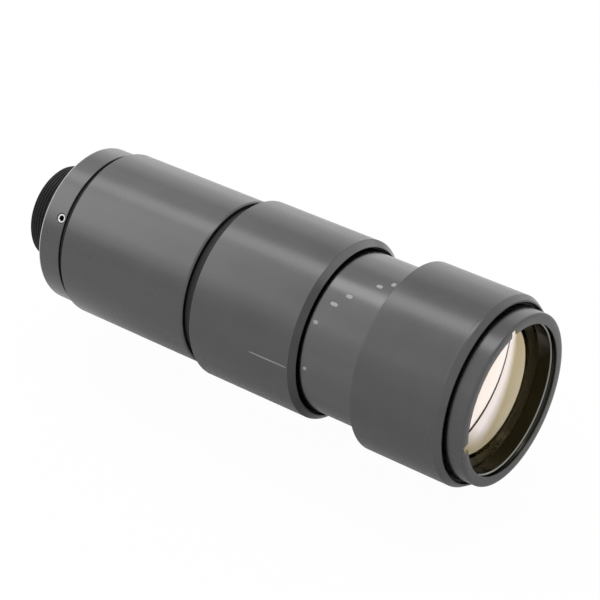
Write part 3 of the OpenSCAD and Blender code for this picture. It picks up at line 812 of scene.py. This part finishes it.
for name, box in softboxes.items():
    light = bpy.data.lights.new(name, "AREA")
    light.shape = "RECTANGLE"
    light.size, light.size_y = box["to"] - box["from"], box["height"]
    light.energy = box["glow"] * math.pi * light.size * light.size_y
    lamp = bpy.data.objects.new(name, light)
    turn = Matrix.Rotation(math.radians(box["angle"]), 4, "X")
    lamp.matrix_world = turn @ Matrix.Translation(((box["from"] + box["to"]) / 2, 0, softboxDistance))
    lamp.visible_camera = False
    bpy.context.scene.collection.objects.link(lamp)
    if "only" in box:
        lightOnly(lamp, box["only"])

# A lit card just above the floor in front gives the lens its white streaks, and black tape along the
# card parts them. A stop of the ramp is (place across the card, brightness, 1 where the tape lies).
card = {"centre": (197.5, 47), "turn": -25, "lift": 0.6,
        "corners": ((-26, -60), (20, -60), (34, 96), (-26, 96)),
        "colour": "#a9b6ff", "tape": "#1c1c1c", "glow": 3.4, "fade": (-52, -36),
        "ramp": ((0.0, 0.0, 0), (0.14, 0.0, 0), (0.25, 0.5, 0), (0.3, 0.75, 0), (0.41, 0.8, 0),
                 (0.425, 0.0, 1), (0.445, 0.0, 1), (0.46, 0.85, 0), (0.5, 1.0, 0), (1.0, 1.0, 0))}


def cardSurface():
    low, high = card["corners"][0][0], card["corners"][2][0]
    material, tree, _ = startMaterial("litCard")
    place = addNode(tree, "ShaderNodeTexCoord").outputs["Object"]
    across = addNode(tree, "ShaderNodeSeparateXYZ", Vector=place)
    share = addNode(tree, "ShaderNodeMapRange", Value=across.outputs["X"], From_Min=low * mm,
                    From_Max=high * mm)
    ramp = addNode(tree, "ShaderNodeValToRGB", Fac=share.outputs["Result"])
    stops = ramp.color_ramp.elements
    stops[0].position, stops[1].position = card["ramp"][0][0], card["ramp"][-1][0]
    for at, _, _ in card["ramp"][1:-1]:
        stops.new(at)
    for stop, (_, level, taped) in zip(stops, card["ramp"]):
        stop.color = (level, level, level, taped)
    end = addNode(tree, "ShaderNodeMapRange", Value=across.outputs["Y"], From_Min=card["fade"][0] * mm,
                  From_Max=card["fade"][1] * mm, To_Min=0.0, To_Max=card["glow"])
    power = addNode(tree, "ShaderNodeMath", {"operation": "MULTIPLY"}, i0=ramp.outputs["Color"],
                    i1=end.outputs["Result"])
    glow = addNode(tree, "ShaderNodeEmission", Color=linear(card["colour"]), Strength=power.outputs[0])
    clear = addNode(tree, "ShaderNodeBsdfTransparent")
    lit = addNode(tree, "ShaderNodeAddShader", i0=glow.outputs[0], i1=clear.outputs[0])
    tape = addNode(tree, "ShaderNodeBsdfDiffuse", Color=linear(card["tape"]))
    both = addNode(tree, "ShaderNodeMixShader", i0=ramp.outputs["Alpha"], i1=lit.outputs[0],
                   i2=tape.outputs[0])
    tree.links.new(both.outputs[0], tree.nodes["Material Output"].inputs["Surface"])
    return material


sheet = bpy.data.meshes.new("litCard")
sheet.from_pydata([(across * mm, along * mm, 0) for across, along in card["corners"]], [], [(0, 1, 2, 3)])
sheet.materials.append(cardSurface())
litCard = bpy.data.objects.new("litCard", sheet)
cardPlace = [side * mm for side in (*card["centre"], card["lift"] - stage["drop"])]
litCard.matrix_world = Matrix.Translation(cardPlace) @ Matrix.Rotation(math.radians(card["turn"]), 4, "Z")
lightOnly(litCard, "crownLens")
litCard.visible_camera = False
litCard.visible_diffuse = False
litCard.visible_shadow = False
litCard.visible_transmission = False
bpy.context.scene.collection.objects.link(litCard)

# Place in metres, the direction that the camera looks in, lens and sensor in mm
view = {"place": (0.39658, -0.41972, 0.35444), "direction": (-0.50082, 0.66424, -0.55494), "lens": 130.81,
        "sensor": 36.0, "near": 0.01}
cameraData = bpy.data.cameras.new("camera")
cameraData.lens = view["lens"]
cameraData.sensor_width = view["sensor"]
cameraData.clip_start = view["near"]
camera = bpy.data.objects.new("camera", cameraData)
camera.location = view["place"]
camera.rotation_euler = Vector(view["direction"]).to_track_quat("-Z", "Y").to_euler()
bpy.context.scene.collection.objects.link(camera)
bpy.context.scene.camera = camera
bpy.context.scene.view_settings.view_transform = "Standard"
print("stage, lights and camera set")
